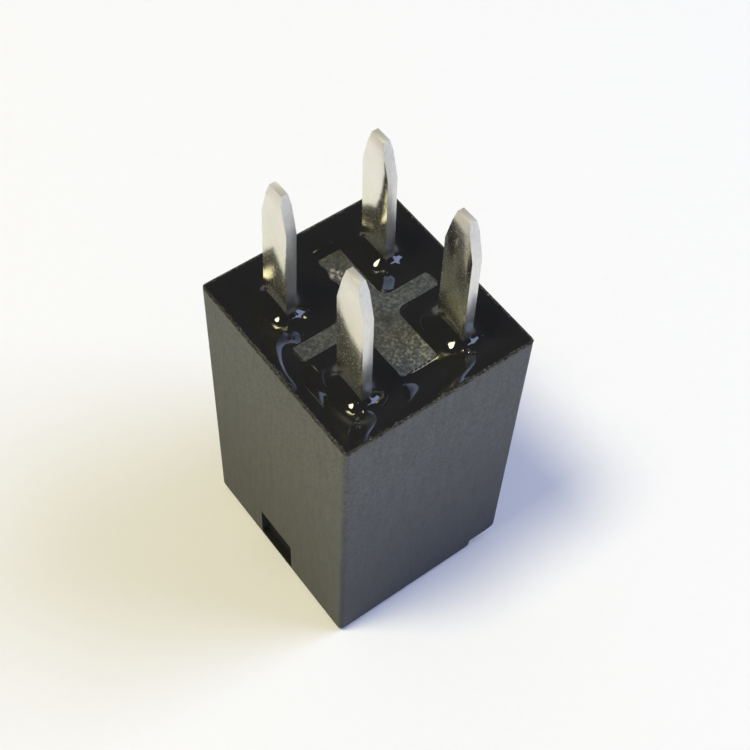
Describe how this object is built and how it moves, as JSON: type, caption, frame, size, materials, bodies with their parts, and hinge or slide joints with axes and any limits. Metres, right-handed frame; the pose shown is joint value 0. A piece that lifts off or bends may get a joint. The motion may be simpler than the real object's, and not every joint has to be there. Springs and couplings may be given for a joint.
{
  "type": "automotive relay",
  "caption": "Sealed plug-in relay: a black moulded cube with blade terminals standing out of its resin-filled end and a sprung armature inside.",
  "frame": {"origin": "centre of the cover's closed end, on the surface that the relay rests on", "axes": "+Z along the blades, from the closed end to the tips; +X across the 16 mm width, away from the puller pocket; +Y along the blades' width"},
  "size_m": [0.016, 0.0172, 0.0382],
  "materials": {
    "cover_plastic": "matte moulded",
    "base_plastic": "matte, spark-eroded texture",
    "resin": "glossy cast",
    "tinned_brass": "tin-plated",
    "plated_iron": "zinc-plated",
    "bobbin_nylon": "matte moulded",
    "enamelled_copper": "enamelled",
    "coil_tape": "film",
    "solder": "bright",
    "spring_bronze": "rolled",
    "contact_silver": "satin"
  },
  "bodies": {
    "housing": {"cover": "cover_plastic", "base": "base_plastic", "sealing_resin": "resin", "common_terminal": "tinned_brass", "normally_open_terminal": "tinned_brass", "coil_terminal_left": "tinned_brass", "coil_terminal_front": "tinned_brass", "yoke": "plated_iron", "core": "plated_iron", "bobbin": "bobbin_nylon", "coil_winding": "enamelled_copper", "coil_tape": "coil_tape", "coil_lead_left": "enamelled_copper", "coil_lead_front": "enamelled_copper", "solder_joint_left": "solder", "solder_joint_front": "solder", "yoke_rivets": "plated_iron", "fixed_contact": "contact_silver", "back_stop": "tinned_brass"},
    "armature": {"armature": "plated_iron", "armature_rivets": "plated_iron", "moving_contact": "contact_silver", "contact_spring": "spring_bronze"}
  },
  "joints": [
    {"name": "armature_hinge", "type": "hinge", "parent": "housing", "child": "armature", "pos_m": [0, 0.00685, 0.00512], "axis": [-1, 0, 0], "range_deg": [0, 2.87], "stiffness_Nm_per_rad": 0.05, "springref_deg": -4.58, "deforming": ["contact_spring"]}
  ]
}
